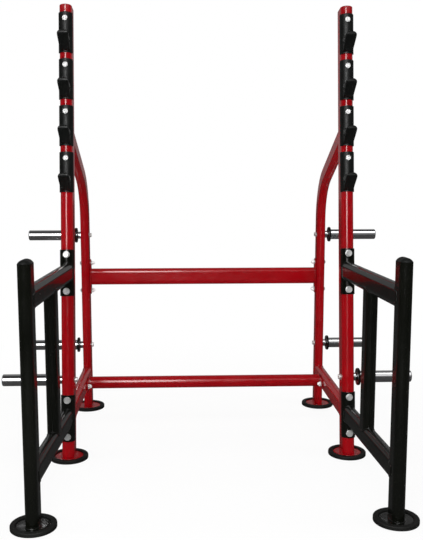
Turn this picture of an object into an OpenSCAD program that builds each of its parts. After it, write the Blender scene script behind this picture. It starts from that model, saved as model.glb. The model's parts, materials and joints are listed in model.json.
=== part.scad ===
// Open power rack. Two main uprights lean back and carry four bar hooks each. A side
// frame with a safety rail and a front post is bolted to the front of each one, and a
// bent rear upright braces it from behind. A beam and a bar join the two sides, and
// six pegs store weight plates.
// Millimetres, +Z up, front towards -Y, right towards +X. The origin is on the floor,
// halfway between the sides and halfway between the foremost and rearmost feet.

/* [Overall] */
// Distance between the centre planes of the two sides
side_spacing = 1160; // [1120:5:1200]
// Distance from the main upright's foot forward to the front post's foot
front_reach = 620; // [560:5:680]
// Distance from the main upright's foot back to the rear upright's foot
rear_reach = 685; // [640:5:740]
// Outward turn of each side frame, in degrees
splay = 2.8; // [0:0.1:5]
// Wall thickness of the tubes
wall = 3; // [2:0.5:4]
// Gap left for the weld where a tube end is coped around another tube
weld_gap = 0.2; // [0.1:0.1:0.5]

/* [Main uprights] */
// Width of the flat-oval main tube, side to side
main_w = 50; // [48:1:54]
// Depth of the flat-oval main tube, front to back
main_d = 100; // [94:1:110]
// Length of a main upright along its axis, from the floor
main_length = 1865; // [1850:5:1950]
// Backward lean, in degrees
lean = 7; // [5:0.5:8]

/* [Bar hooks] */
// Number of hooks on each main upright
hook_count = 4; // [1:1:4]
// Distance from one hook to the next
hook_pitch = 190; // [175:5:195]
// Height of the top hook's upper edge, along the upright
hook_top = 1832; // [1800:1:1840]
// Length of a hook's back plate
hook_plate_l = 165; // [150:1:170]
// Width of a hook's tongue
tongue_w = 44; // [40:1:46]
// Radius of the tongue's upper corners, seen from the front
tongue_corner_r = 17; // [6:1:17]
// Radius of the bar seat
seat_r = 18; // [16:0.5:18]
// Drop from a hook's upper edge to its bolt
hook_bolt_drop = 25; // [20:1:35]

/* [Rear uprights] */
// Width of the flat-oval rear tube, side to side
rear_w = 40; // [38:1:44]
// Depth of the flat-oval rear tube, front to back
rear_d = 80; // [76:1:84]
// Height at which the bend starts
bend_start_z = 947; // [900:1:980]
// Radius of the bend along the tube's centre line
bend_r = 240; // [200:5:260]
// Angle of the bend, in degrees
bend_angle = 64.769; // [64.5:0.001:65]

/* [Side frames] */
// Width of the side frames' flat-oval tubes, side to side
frame_w = 45; // [43:1:46]
// Height of the side frames' rails
rail_h = 80; // [76:1:84]
// Depth of the front posts and the struts, front to back
post_d = 78; // [74:1:84]
// Centre height of the safety rails
safety_rail_z = 768; // [740:1:790]
// Centre height of the lower guard rails
guard_rail_z = 177; // [150:1:200]
// Distance from the main upright's foot forward to the strut
strut_reach = 267; // [220:1:320]
// Height of the front post's tube
post_h = 886; // [870:1:900]
// Rise of the domed cap above the post
cap_rise = 14; // [10:1:18]
// Length of the curved plates that hold the rails
saddle_l = 190; // [180:1:200]
// Thickness of the curved plates
saddle_t = 4; // [4:0.5:6]
// Distance between the two bolts of a curved plate
saddle_bolt_spacing = 150; // [140:1:160]

/* [Rails and crossmembers] */
// Centre height of the lower side rails and of the crossbar
low_z = 176; // [150:1:200]
// Width of the lower side rails, side to side
side_rail_w = 45; // [43:1:46]
// Centre height of the rear beam
beam_z = 665; // [640:1:690]
// Depth of the rear beam, front to back
beam_w = 40; // [36:1:42]
// Height of the rear beam
beam_h = 80; // [76:1:84]
// Diameter of the lower crossbar
bar_d = 57; // [50:1:60]
// Distance from the main upright's foot back to the crossbar
bar_reach = 511; // [480:1:515]
// Length of the crossmembers' end plates
end_plate_l = 172; // [165:1:180]
// Width of the end plates
end_plate_w = 44; // [40:1:44]
// Thickness of the end plates
end_plate_t = 6; // [5:0.5:8]
// Distance between the two bolts of an end plate
end_bolt_spacing = 135; // [130:1:136]

/* [Weight pegs] */
// Diameter of a peg
peg_d = 49; // [47:0.5:50]
// Distance from the middle of the rack to the pegs' tips
peg_tip_x = 852; // [820:1:880]
// Centre height of the upper pegs
upper_peg_z = 870; // [820:1:890]
// Centre height of the lower pegs
lower_peg_z = 322; // [300:1:350]
// Diameter of the stop flange at a peg's root
flange_d = 72; // [68:1:80]
// Thickness of the stop flange
flange_t = 10; // [6:1:12]
// Diameter of the spacer between flange and upright
spacer_d = 34; // [30:1:38]
// Length of the spacer
spacer_l = 18; // [14:1:22]

/* [Feet] */
// Diameter of the rubber feet
foot_d = 156; // [150:1:160]
// Height of the rubber rim
foot_h = 14.5; // [13:0.5:16]
// Diameter of the steel foot plates
plate_d = 116; // [112:1:120]
// Thickness of the steel foot plates
plate_t = 6; // [5:0.5:6]
// Rubber under the steel foot plates
foot_base = 4; // [4:0.5:6]

/* [Fasteners] */
// Diameter of all bolts
bolt_d = 12; // [10:1:12]
// Diameter of the bolt holes
bolt_hole_d = 13; // [13:0.5:14]
// Width across flats of the side frames' bolt heads and nuts
big_hex = 21; // [19:1:21]
// Width across flats of the other hexagons
small_hex = 19; // [17:1:19]
// Thickness of the washers
washer_t = 2.5; // [2:0.5:3]

/* [Hidden] */
$fn = 96;
through = 1;

half_spacing = side_spacing / 2;
main_y = (front_reach * cos(splay) - rear_reach) / 2;
rear_y = main_y + rear_reach;
bar_y = main_y + bar_reach;
front_x = half_spacing + front_reach * sin(splay);
front_y = main_y - front_reach * cos(splay);
foot_plate_top = foot_base + plate_t;

// The main tube's front face is round about a line this far in front of its axis
main_arc_y = (main_d - main_w) / 2;
saddle_inner_r = main_w / 2 + weld_gap;
saddle_outer_r = saddle_inner_r + saddle_t;
saddle_angle = 90;

// Hook tongue, as [distance in front of the tube, height above the hook's lower edge]
hook_shell_t = 4;
tongue_root = [12, 8];
tongue_tip = [64, 62];
tongue_tip_r = 10;
seat_root = 6;
seat_centre = [seat_root + seat_r, 52];
seat_mouth = [tongue_tip.x - 7.5, tongue_tip.y + 6.6];
bolt_seat = 3;
boss_d = 24;
boss_l = 14;

// Rear upright: end of the bend, and the straight stretch on to the main upright's axis
bend_y = rear_reach - bend_r;
bend_end = [bend_y + bend_r * cos(bend_angle), bend_start_z + bend_r * sin(bend_angle)];
slant_l = (bend_end[0] - bend_end[1] * tan(lean)) / (sin(bend_angle) + cos(bend_angle) * tan(lean));

beam_end_x = half_spacing - rear_w / 2 - end_plate_t;
bar_end_x = half_spacing - side_rail_w / 2 - end_plate_t;

// Each peg as [name, distance behind the main upright's foot, height, upright's width]
pegs = [
    ["main", lower_peg_z * tan(lean), lower_peg_z, main_w],
    ["rear_upper", rear_reach, upper_peg_z, rear_w],
    ["rear_lower", rear_reach, lower_peg_z, rear_w]
];
peg_end_wall = 34;
peg_wall = 3;
peg_corner_r = 5;
peg_thread = 28;

// Each foot as [name, distance from the middle, place along Y, colour of its plate]
feet = [
    ["main", half_spacing, main_y, "crimson"],
    ["rear", half_spacing, rear_y, "crimson"],
    ["front", front_x, front_y, "black"]
];

big_head_h = 8;
big_nut_h = 10;
big_washer_d = 28;
small_head_h = 7.5;
small_nut_h = 8;
small_washer_d = 24;
button_d = 21;
button_h = 6.5;
socket_d = 9;
socket_depth = 4;
thread_end = 3;
dome_sink = 0.5;

SIDES = [["left", -1], ["right", 1]];

// ---- Sections and frames of reference ----

// Flat-oval outline, w wide along X and d long along Y
module oval(w, d) {
    square([w, d - w], center = true);
    for (end = [-1, 1])
        translate([0, end * (d - w) / 2])
            circle(d = w);
}

module oval_tube(w, d) {
    difference() {
        oval(w, d);
        oval(w - 2 * wall, d - 2 * wall);
    }
}

// Part of a round shell that hugs the front of the main tube
module saddle_section(outer_r) {
    reach = 2 * outer_r;
    translate([0, -main_arc_y])
        intersection() {
            difference() {
                circle(outer_r);
                circle(saddle_inner_r);
            }
            polygon([
                [0, 0],
                reach * [-sin(saddle_angle), -cos(saddle_angle)],
                [-reach, -reach],
                [reach, -reach],
                reach * [sin(saddle_angle), -cos(saddle_angle)]
            ]);
        }
}

// Origin at the main upright's foot
module on_side(side) {
    translate([side * half_spacing, main_y, 0])
        children();
}

// The same, with Z along the leaning upright
module on_main(side) {
    on_side(side)
        rotate([-lean, 0, 0])
            children();
}

// The same, upright but turned outward with the side frame
module in_side_frame(side) {
    on_side(side)
        rotate([0, 0, side * splay])
            children();
}

// Z turned outward, along the X direction of the given side
module facing_out(side) {
    rotate([0, side * 90, 0])
        children();
}

// Z turned to point out of the main upright's front
module facing_front() {
    rotate([90, 0, 0])
        children();
}

// Tube outline run along Y, with its long way upright
module along_y(from_y, to_y, z) {
    translate([0, to_y, z])
        rotate([90, 0, 0])
            linear_extrude(to_y - from_y)
                children();
}

// ---- Where the bolts sit ----

function hook_bottom(i) = hook_top - hook_plate_l - (i - 1) * hook_pitch;
function hook_bolt_t(i) = hook_bottom(i) + hook_plate_l - hook_bolt_drop;

// Distance along the upright at which its front face is at height z
function front_t(z) = (z - main_d / 2 * sin(lean)) / cos(lean);
function saddle_bolts(z) = [for (end = [-1, 1]) front_t(z) + end * saddle_bolt_spacing / 2];
rail_bolts = concat(saddle_bolts(safety_rail_z), saddle_bolts(guard_rail_z));

// Each crossmember bolt as [place of the end plate's inner face, width of the tube behind it]
end_bolts = [
    for (end = [-1, 1]) each [
        [[beam_end_x, rear_y, beam_z + end * end_bolt_spacing / 2], rear_w],
        [[bar_end_x, bar_y + end * end_bolt_spacing / 2, low_z], side_rail_w]
    ]
];

// Z pointing out, at the end plate's inner face
module at_end_bolt(side, b) {
    translate([side * b[0].x, b[0].y, b[0].z])
        facing_out(side)
            children();
}

module end_bolt_holes(side) {
    for (b = end_bolts)
        at_end_bolt(side, b)
            translate([0, 0, -through])
                cylinder(d = bolt_hole_d, h = end_plate_t + b[1] + 2 * through);
}

// Z pointing out, at the outer face of the upright that carries the peg
module at_peg(side, p) {
    on_side(side)
        translate([side * p[3] / 2, p[1], p[2]])
            facing_out(side)
                children();
}

// ---- Fasteners, with their seat at Z = 0 and the shank down -Z ----

module hexagon(flats, h) {
    intersection() {
        cylinder(d = flats / cos(30), h = h, $fn = 6);
        cylinder(r1 = flats / 2 + h, r2 = flats / 2, h = h);
    }
}

module shank(length) {
    translate([0, 0, -length])
        cylinder(d = bolt_d, h = length + through);
}

module hex_bolt(flats, head_h, length) {
    hexagon(flats, head_h);
    shank(length);
}

module button_bolt(length) {
    dome_r = (pow(button_d / 2, 2) + pow(button_h, 2)) / (2 * button_h);
    difference() {
        rotate_extrude()
            intersection() {
                translate([0, button_h - dome_r])
                    circle(dome_r);
                square([button_d / 2, button_h]);
            }
        translate([0, 0, button_h - socket_depth])
            cylinder(d = socket_d, h = socket_depth + through, $fn = 6);
    }
    shank(length);
}

module plain_nut(flats, h) {
    difference() {
        hexagon(flats, h);
        translate([0, 0, -through])
            cylinder(d = bolt_d + 2 * weld_gap, h = h + 2 * through);
    }
}

// Nut closed by a dome
module dome_nut(flats, h) {
    dome_r = flats / 2 - 1.5;
    difference() {
        union() {
            hexagon(flats, h);
            translate([0, 0, h - dome_sink])
                intersection() {
                    sphere(dome_r);
                    cylinder(r = dome_r + through, h = dome_r + through);
                }
        }
        translate([0, 0, -through])
            cylinder(d = bolt_d + 2 * weld_gap, h = h + through);
    }
}

module flat_washer() {
    difference() {
        cylinder(d = small_washer_d, h = washer_t);
        translate([0, 0, -through])
            cylinder(d = bolt_hole_d, h = washer_t + 2 * through);
    }
}

// Washer with one flat side, hollowed to sit on a tube that runs along Y, its top at Z = 0
module saddle_washer(round_r) {
    deep = round_r / 2;
    difference() {
        translate([0, 0, -deep])
            cylinder(d = big_washer_d, h = deep + washer_t);
        translate([0, 0, -round_r])
            rotate([90, 0, 0])
                cylinder(r = round_r, h = 2 * big_washer_d, center = true);
        translate([0, 0, -deep - through])
            cylinder(d = bolt_hole_d, h = deep + washer_t + 2 * through);
    }
}

// ---- Red frame ----

module main_outline(side, grow = 0) {
    on_main(side)
        linear_extrude(main_length)
            oval(main_w + 2 * grow, main_d + 2 * grow);
}

module main_upright(side) {
    color("crimson")
        difference() {
            main_outline(side);
            difference() {
                on_main(side)
                    translate([0, 0, -through])
                        linear_extrude(main_length + through - wall)
                            oval(main_w - 2 * wall, main_d - 2 * wall);
                threaded_bosses(side);
            }
            on_main(side)
                main_bolt_holes();
            at_peg(side, pegs[0])
                translate([0, 0, -main_w - through])
                    cylinder(d = bolt_hole_d, h = main_w + 2 * through);
            on_side(side)
                translate([-main_w, -main_d, -main_d])
                    cube([2 * main_w, 2 * main_d, main_d + foot_plate_top]);
        }
}

// Threaded steel bosses inside the main tube, behind the hooks' bolts
module threaded_bosses(side) {
    on_main(side)
        for (i = [1 : hook_count])
            translate([0, boss_l - main_d / 2, hook_bolt_t(i)])
                facing_front()
                    cylinder(d = boss_d, h = boss_l);
}

module main_bolt_holes() {
    for (i = [1 : hook_count])
        translate([0, boss_l + through - main_d / 2, hook_bolt_t(i)])
            facing_front()
                cylinder(d = bolt_hole_d, h = boss_l + 2 * through);
    for (t = rail_bolts)
        translate([0, main_d / 2 + through, t])
            facing_front()
                cylinder(d = bolt_hole_d, h = main_d + 2 * through);
}

module rear_outline(side, grow = 0) {
    on_side(side)
        translate([0, rear_reach, 0])
            linear_extrude(bend_start_z)
                oval(rear_w + 2 * grow, rear_d + 2 * grow);
}

module rear_upright(side) {
    color("crimson")
        difference() {
            on_side(side) {
                translate([0, rear_reach, foot_plate_top])
                    linear_extrude(bend_start_z - foot_plate_top)
                        oval_tube(rear_w, rear_d);
                translate([0, bend_y, bend_start_z])
                    rotate([90, 0, 90])
                        rotate_extrude(angle = bend_angle)
                            translate([bend_r, 0])
                                rotate(90)
                                    oval_tube(rear_w, rear_d);
                translate([0, bend_y, bend_start_z])
                    rotate([bend_angle, 0, 0])
                        translate([0, bend_r, 0])
                            linear_extrude(slant_l)
                                oval_tube(rear_w, rear_d);
            }
            main_outline(side, weld_gap);
            for (p = [pegs[1], pegs[2]])
                at_peg(side, p)
                    translate([0, 0, -rear_w - through])
                        cylinder(d = bolt_hole_d, h = rear_w + 2 * through);
            end_bolt_holes(side);
        }
}

module lower_side_rail(side) {
    color("crimson")
        difference() {
            on_side(side)
                along_y(low_z * tan(lean), rear_reach - (rear_d - rear_w) / 2, low_z)
                    oval_tube(side_rail_w, rail_h);
            main_outline(side, weld_gap);
            rear_outline(side, weld_gap);
            end_bolt_holes(side);
        }
}

module rear_beam() {
    color("crimson")
        translate([-beam_end_x, rear_y, beam_z])
            facing_out(1)
                linear_extrude(2 * beam_end_x)
                    rotate(90)
                        oval_tube(beam_w, beam_h);
}

module lower_crossbar() {
    color("crimson")
        translate([-bar_end_x, bar_y, low_z])
            facing_out(1)
                linear_extrude(2 * bar_end_x)
                    difference() {
                        circle(d = bar_d);
                        circle(d = bar_d - 2 * wall);
                    }
}

module end_plate() {
    linear_extrude(end_plate_t)
        difference() {
            oval(end_plate_w, end_plate_l);
            for (end = [-1, 1])
                translate([0, end * end_bolt_spacing / 2])
                    circle(d = bolt_hole_d);
        }
}

module beam_end_plates() {
    color("crimson")
        for (s = SIDES)
            translate([s[1] * beam_end_x, rear_y, beam_z])
                facing_out(s[1])
                    rotate(90)
                        end_plate();
}

module crossbar_end_plates() {
    color("crimson")
        for (s = SIDES)
            translate([s[1] * bar_end_x, bar_y, low_z])
                facing_out(s[1])
                    end_plate();
}

// ---- Black side frames ----

module front_post(side) {
    color("dimgray")
        in_side_frame(side)
            translate([0, -front_reach, foot_plate_top])
                linear_extrude(post_h - foot_plate_top)
                    oval_tube(frame_w, post_d);
}

module post_outline(side) {
    in_side_frame(side)
        translate([0, -front_reach, 0])
            linear_extrude(post_h)
                oval(frame_w + 2 * weld_gap, post_d + 2 * weld_gap);
}

module post_cap(side) {
    dome_r = (pow(frame_w / 2, 2) + pow(cap_rise, 2)) / (2 * cap_rise);
    plug_h = 20;
    slack = 2 * (wall + weld_gap);
    color("black")
        in_side_frame(side)
            translate([0, -front_reach, post_h]) {
                rotate([90, 0, 0])
                    linear_extrude(post_d - frame_w, center = true)
                        dome_section(dome_r, -frame_w / 2);
                for (end = [-1, 1])
                    translate([0, end * (post_d - frame_w) / 2, 0])
                        rotate_extrude()
                            dome_section(dome_r, 0);
                translate([0, 0, -plug_h])
                    linear_extrude(plug_h)
                        oval(frame_w - slack, post_d - slack);
            }
}

// Round top of a cap, from the given place along X out to its edge
module dome_section(dome_r, from_x) {
    intersection() {
        translate([0, cap_rise - dome_r])
            circle(dome_r);
        translate([from_x, 0])
            square([frame_w / 2 - from_x, cap_rise]);
    }
}

// Everything that the end of a guard rail is coped around at the main upright
module saddle_outline(side) {
    r = saddle_outer_r + weld_gap;
    on_main(side)
        linear_extrude(main_length)
            translate([0, -main_arc_y]) {
                circle(r);
                translate([-r, 0])
                    square([2 * r, main_d]);
            }
}

module guard_rail(side, z) {
    color("dimgray")
        difference() {
            in_side_frame(side)
                along_y((post_d - frame_w) / 2 - front_reach, z * tan(lean), z)
                    oval_tube(frame_w, rail_h);
            post_outline(side);
            saddle_outline(side);
        }
}

module guard_strut(side) {
    color("dimgray")
        in_side_frame(side)
            difference() {
                translate([0, -strut_reach, guard_rail_z])
                    linear_extrude(safety_rail_z - guard_rail_z)
                        oval_tube(frame_w, post_d);
                for (z = [guard_rail_z, safety_rail_z])
                    along_y(-strut_reach - post_d, post_d - strut_reach, z)
                        oval(frame_w + 2 * weld_gap, rail_h + 2 * weld_gap);
            }
}

module saddle_plate(side, z) {
    color("dimgray")
        on_main(side)
            difference() {
                translate([0, 0, front_t(z) - saddle_l / 2])
                    linear_extrude(saddle_l)
                        saddle_section(saddle_outer_r);
                for (t = saddle_bolts(z))
                    translate([0, -main_arc_y, t])
                        facing_front()
                            cylinder(d = bolt_hole_d, h = main_d);
            }
}

// ---- Bar hooks ----

// Point where a line from the given point touches the underside of a circle
function tangent_point(from, centre, r) =
    let (gap = centre - from, bearing = atan2(gap.y, gap.x) - asin(r / norm(gap)))
    from + sqrt(pow(norm(gap), 2) - r * r) * [cos(bearing), sin(bearing)];

module tongue_section() {
    top = tongue_tip.y + tongue_tip_r;
    difference() {
        union() {
            polygon([
                [-tongue_root.x, tongue_root.y],
                tongue_root,
                tangent_point(tongue_root, tongue_tip, tongue_tip_r),
                tongue_tip,
                [tongue_tip.x, top],
                [-tongue_root.x, top]
            ]);
            translate(tongue_tip)
                circle(tongue_tip_r);
        }
        translate(seat_centre)
            circle(seat_r);
        polygon([
            [seat_root, seat_centre.y],
            [seat_centre.x + seat_r, seat_centre.y],
            seat_mouth,
            [seat_mouth.x, 2 * top],
            [seat_root, 2 * top]
        ]);
    }
}

// The tongue from the front, its upper corners round
module tongue_front() {
    top = tongue_tip.y + tongue_tip_r;
    shoulder_w = tongue_w - 2 * tongue_corner_r;
    translate([-tongue_w / 2, 0])
        square([tongue_w, top - tongue_corner_r]);
    translate([-shoulder_w / 2, 0])
        square([shoulder_w, top]);
    for (end = [-1, 1])
        translate([end * shoulder_w / 2, top - tongue_corner_r])
            circle(tongue_corner_r);
}

module tongue() {
    intersection() {
        rotate([90, 0, -90])
            linear_extrude(tongue_w, center = true)
                tongue_section();
        rotate([90, 0, 0])
            linear_extrude(2 * main_d, center = true)
                tongue_front();
    }
}

module bar_hook(side, i) {
    color("black")
        on_main(side)
            difference() {
                translate([0, 0, hook_bottom(i)]) {
                    linear_extrude(hook_plate_l)
                        saddle_section(saddle_inner_r + hook_shell_t - weld_gap);
                    translate([0, -main_d / 2, 0])
                        tongue();
                }
                translate([0, -main_arc_y, 0])
                    cylinder(r = saddle_inner_r, h = main_length);
                translate([0, -main_d / 2, hook_bolt_t(i)])
                    facing_front() {
                        translate([0, 0, bolt_seat])
                            cylinder(d = button_d + 3, h = main_d);
                        translate([0, 0, -main_arc_y])
                            cylinder(d = bolt_hole_d, h = main_d);
                    }
            }
}

// ---- Weight pegs ----

module weight_peg(side, p) {
    root = spacer_l + flange_t;
    length = peg_tip_x - half_spacing - p[3] / 2 - root;
    color("silver")
        at_peg(side, p)
            translate([0, 0, root])
                difference() {
                    rotate_extrude() {
                        square([peg_d / 2, length - peg_corner_r]);
                        square([peg_d / 2 - peg_corner_r, length]);
                        translate([peg_d / 2 - peg_corner_r, length - peg_corner_r])
                            circle(peg_corner_r);
                    }
                    translate([0, 0, peg_end_wall])
                        cylinder(d = peg_d - 2 * peg_wall, h = length - peg_end_wall - 2 * peg_wall);
                    translate([0, 0, -through])
                        cylinder(d = bolt_hole_d, h = peg_end_wall + 2 * through);
                }
}

// Ring around a peg's bolt, from one height to another
module bolt_ring(d, from_z, h) {
    translate([0, 0, from_z])
        difference() {
            cylinder(d = d, h = h);
            translate([0, 0, -through])
                cylinder(d = bolt_hole_d, h = h + 2 * through);
        }
}

module peg_flanges() {
    color("black")
        for (s = SIDES, p = pegs)
            at_peg(s[1], p)
                bolt_ring(flange_d, spacer_l, flange_t);
}

module peg_spacers() {
    color("silver")
        for (s = SIDES, p = pegs)
            at_peg(s[1], p)
                bolt_ring(spacer_d, 0, spacer_l);
}

// ---- Feet ----

module foot_plate(side, f) {
    color(f[3])
        translate([side * f[1], f[2], foot_base])
            cylinder(d = plate_d, h = plate_t);
}

// Rubber cup with a rounded rim around the steel plate
module rubber_foot(side, f) {
    inner_r = plate_d / 2 + weld_gap;
    rim_w = foot_d / 2 - inner_r;
    round_r = 4;
    color("black")
        translate([side * f[1], f[2], 0])
            rotate_extrude() {
                square([foot_d / 2, foot_base]);
                translate([inner_r, 0])
                    square([rim_w, foot_h - round_r]);
                translate([inner_r + round_r, 0])
                    square([rim_w - 2 * round_r, foot_h]);
                for (x = [inner_r + round_r, foot_d / 2 - round_r])
                    translate([x, foot_h - round_r])
                        circle(round_r);
            }
}

// ---- Groups of identical fasteners ----

module hook_bolts() {
    color("lightgray")
        for (s = SIDES, i = [1 : hook_count])
            on_main(s[1])
                translate([0, -main_d / 2 - bolt_seat, hook_bolt_t(i)])
                    facing_front()
                        button_bolt(bolt_seat + boss_l);
}

module side_frame_bolts() {
    head_y = main_arc_y + saddle_outer_r + washer_t;
    nut_end_y = main_d / 2 + washer_t + big_nut_h;
    color("lightgray")
        for (s = SIDES, t = rail_bolts)
            on_main(s[1])
                translate([0, -head_y, t])
                    facing_front()
                        hex_bolt(big_hex, big_head_h, head_y + nut_end_y + thread_end);
}

module side_frame_nuts() {
    color("lightgray")
        for (s = SIDES, t = rail_bolts)
            on_main(s[1])
                translate([0, main_d / 2 + washer_t, t])
                    rotate([-90, 0, 0])
                        plain_nut(big_hex, big_nut_h);
}

module side_frame_washers() {
    color("lightgray")
        for (s = SIDES, t = rail_bolts)
            on_main(s[1]) {
                translate([0, -main_arc_y - saddle_outer_r, t])
                    facing_front()
                        saddle_washer(saddle_outer_r);
                translate([0, main_d / 2, t])
                    rotate([-90, 0, 0])
                        saddle_washer(main_w / 2);
            }
}

module crossmember_bolts() {
    color("lightgray")
        for (s = SIDES, b = end_bolts) {
            grip = end_plate_t + b[1] + washer_t;
            at_end_bolt(s[1], b)
                translate([0, 0, grip])
                    button_bolt(grip + washer_t + small_nut_h - through);
        }
}

module crossmember_nuts() {
    color("lightgray")
        for (s = SIDES, b = end_bolts)
            at_end_bolt(s[1], b)
                translate([0, 0, -washer_t])
                    mirror([0, 0, 1])
                        dome_nut(small_hex, small_nut_h);
}

module peg_bolts() {
    color("lightgray")
        for (s = SIDES, p = pegs) {
            grip = washer_t + p[3] + spacer_l + flange_t;
            at_peg(s[1], p)
                translate([0, 0, -p[3] - washer_t])
                    mirror([0, 0, 1])
                        hex_bolt(small_hex, small_head_h, grip + peg_thread);
        }
}

module flat_washers() {
    color("lightgray")
        for (s = SIDES) {
            for (b = end_bolts, z = [-washer_t, end_plate_t + b[1]])
                at_end_bolt(s[1], b)
                    translate([0, 0, z])
                        flat_washer();
            for (p = pegs)
                at_peg(s[1], p)
                    translate([0, 0, -p[3] - washer_t])
                        flat_washer();
        }
}

for (s = SIDES) {
    main_upright(s[1]);
    rear_upright(s[1]);
    lower_side_rail(s[1]);
    front_post(s[1]);
    post_cap(s[1]);
    guard_rail(s[1], safety_rail_z);
    guard_rail(s[1], guard_rail_z);
    guard_strut(s[1]);
    saddle_plate(s[1], safety_rail_z);
    saddle_plate(s[1], guard_rail_z);
    for (i = [1 : hook_count])
        bar_hook(s[1], i);
    for (p = pegs)
        weight_peg(s[1], p);
    for (f = feet) {
        foot_plate(s[1], f);
        rubber_foot(s[1], f);
    }
}
rear_beam();
lower_crossbar();
beam_end_plates();
crossbar_end_plates();
peg_flanges();
peg_spacers();
hook_bolts();
side_frame_bolts();
side_frame_nuts();
side_frame_washers();
crossmember_bolts();
crossmember_nuts();
peg_bolts();
flat_washers();
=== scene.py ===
import json
import math

import bmesh
import bpy
from mathutils import Matrix, Vector, noise

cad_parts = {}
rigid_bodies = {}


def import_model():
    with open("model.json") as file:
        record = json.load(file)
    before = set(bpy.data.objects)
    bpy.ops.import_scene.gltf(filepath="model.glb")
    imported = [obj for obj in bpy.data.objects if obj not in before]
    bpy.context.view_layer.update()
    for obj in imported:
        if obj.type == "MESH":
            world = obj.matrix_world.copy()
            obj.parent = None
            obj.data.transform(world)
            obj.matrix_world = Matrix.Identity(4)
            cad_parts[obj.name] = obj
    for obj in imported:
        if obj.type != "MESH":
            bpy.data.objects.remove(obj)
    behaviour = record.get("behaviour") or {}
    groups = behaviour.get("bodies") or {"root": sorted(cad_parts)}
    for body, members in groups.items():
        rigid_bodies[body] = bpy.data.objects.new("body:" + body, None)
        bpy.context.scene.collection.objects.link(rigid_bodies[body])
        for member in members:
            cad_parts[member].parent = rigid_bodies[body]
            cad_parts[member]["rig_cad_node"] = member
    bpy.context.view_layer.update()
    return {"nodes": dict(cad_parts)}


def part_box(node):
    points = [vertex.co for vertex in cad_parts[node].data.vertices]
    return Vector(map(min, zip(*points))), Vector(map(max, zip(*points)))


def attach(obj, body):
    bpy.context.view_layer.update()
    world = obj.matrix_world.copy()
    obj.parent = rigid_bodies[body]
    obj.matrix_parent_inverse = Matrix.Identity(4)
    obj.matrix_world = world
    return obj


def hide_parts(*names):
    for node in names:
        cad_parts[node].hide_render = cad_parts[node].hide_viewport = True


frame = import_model()

# ---- Sizes, and places read from the CAD nodes. Lengths are in millimetres up to the finished mesh ----

MM = 0.001
LEAN = math.radians(7)
SIDES = (("left", -1), ("right", 1))
HOOKS = 4
HOOK_L = 165
SADDLE_L = 190
SADDLE_T = 4
HOOK_T = 4
BOLT_SEAT = 3
SADDLE_BOLTS = 150
END_BOLTS = 135
MAIN_W, MAIN_D = 50, 100
REAR_W, REAR_D = 40, 80
FRAME_W, RAIL_H, POST_D = 45, 80, 78
PLATE_TOP = 10
STRUT_REACH = 267
BEND_ANGLE, BEND_R, BEND_Z = 64.769, 240, 947
BEAM_W, BEAM_H = 40, 80
END_PLATE_W, END_PLATE_L = 44, 172
SPACER_L, SPACER_R = 18, 17
FLANGE_T, FLANGE_R = 10, 36
PEG_THREAD = 28
SKIRT_INSET, SKIRT_DEPTH = 3.4, 18
WELD_GAP = 0.2
WELD_R = 2.6

# Bar hook: its bolt's drop from the upper edge, and its tongue as [distance in front of the tube, height]
HOOK_BOLT_DROP = 25
TONGUE_ROOT = (12, 8)
TONGUE_TIP, TONGUE_TIP_R = (64, 62), 10
TONGUE_TOP = TONGUE_TIP[1] + TONGUE_TIP_R
TONGUE_BACK = -11
TONGUE_HALF_W = 20
TONGUE_BEVEL = 2.6
TONGUE_SPREAD = 2.4
TONGUE_CORNER = (18, 20)
SEAT_ROOT, SEAT_R, SEAT_Z = 6, 18, 52
BOLT_SEAT_R = 12

# Fasteners
WASHER_T = 2.5
BOLT_R = 6
HOLE_R = 6.5
SMALL_WASHER_R, BIG_WASHER_R = 12, 14
BIG_HEX, BIG_HEAD_H, BIG_NUT_H = 21, 8, 10
SMALL_HEX, SMALL_HEAD_H, SMALL_NUT_H = 19, 7.5, 8
BUTTON_R, BUTTON_H, SOCKET = 10.5, 6.5, 7.8
BOSS_L = 14
THREAD_END = 3
CHAMFER = (1.1, 0.85, 0.6, 0.4, 0.2, 0.0)


def middle(name):
    low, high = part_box(name)
    return (low + high) / 2 / MM


def top_of(name):
    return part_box(name)[1].z / MM


main_foot = middle("rubber_foot_main_right")
rear_foot = middle("rubber_foot_rear_right")
front_foot = middle("rubber_foot_front_right")
half_spacing, main_y, rear_y = main_foot.x, main_foot.y, rear_foot.y
front_reach = math.hypot(front_foot.x - half_spacing, front_foot.y - main_y)
splay = math.atan2(front_foot.x - half_spacing, main_y - front_foot.y)
main_arc_y = (MAIN_D - MAIN_W) / 2
main_length = (top_of("main_upright_right") - MAIN_D / 2 * math.sin(LEAN)) / math.cos(LEAN)
safety_z = middle("safety_rail_right").z
guard_z = middle("lower_guard_rail_right").z
low_z = middle("lower_side_rail_right").z
beam_z = middle("rear_beam").z
bar_y = middle("lower_crossbar").y
bar_r = top_of("lower_crossbar") - low_z
post_top = top_of("front_post_right")
beam_end_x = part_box("rear_beam")[1].x / MM
bar_end_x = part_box("lower_crossbar")[1].x / MM
end_plate_t = half_spacing - REAR_W / 2 - beam_end_x
saddle_inner_r = MAIN_W / 2 + WELD_GAP
saddle_outer_r = saddle_inner_r + SADDLE_T


def on_main(side):
    """The main upright's own axes, with Z along the leaning tube."""
    return Matrix.Translation((side * half_spacing, main_y, 0)) @ Matrix.Rotation(-LEAN, 4, "X")


def in_side_frame(side):
    return Matrix.Translation((side * half_spacing, main_y, 0)) @ Matrix.Rotation(side * splay, 4, "Z")


def facing_out(side, x, y, z):
    """Z along the X direction of the given side."""
    return Matrix.Translation((x, y, z)) @ Matrix.Rotation(side * math.pi / 2, 4, "Y")


def facing_front(side, depth, t):
    """Z out of the main upright's front, at a depth in front of its axis and a height along it."""
    return on_main(side) @ Matrix.Translation((0, -depth, t)) @ Matrix.Rotation(math.pi / 2, 4, "X")


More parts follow.
